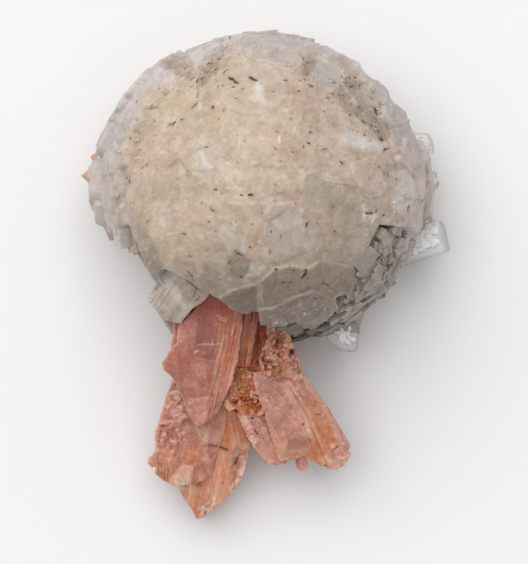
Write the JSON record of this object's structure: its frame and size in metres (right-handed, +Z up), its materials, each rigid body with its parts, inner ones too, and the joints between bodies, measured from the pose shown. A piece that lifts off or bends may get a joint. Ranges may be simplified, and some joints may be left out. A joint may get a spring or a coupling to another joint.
{
  "type": "leifite specimen on serandite",
  "caption": "Ball of radiating flat-ended leifite crystals grown over flat pink and orange serandite blades, with clear crystals at its rim.",
  "frame": {"origin": "middle of the flat cut at the back of the ball, which the specimen rests on", "axes": "+Z up, away from the flat cut and towards the specimen's front; +Y away from the serandite blades; +X to the right as the front is seen"},
  "size_m": [0.026, 0.0344, 0.017],
  "materials": {
    "leifite": "milky, slightly see-through crystals, beige at the middle and lilac grey at the rim",
    "serandite": "pink to orange cleavage faces with a soft glassy sheen and fine lines along the blades",
    "clear": "clear, slightly frosted crystal"
  },
  "bodies": {
    "root": {"leifite_ball": "leifite", "serandite_crystals": "serandite", "serandite_point_upper": "serandite", "serandite_point_lower": "serandite", "clear_crystal_upper": "clear", "clear_crystal_small": "clear", "clear_crystal_large": "clear", "clear_crystal_bottom": "clear"}
  },
  "joints": []
}
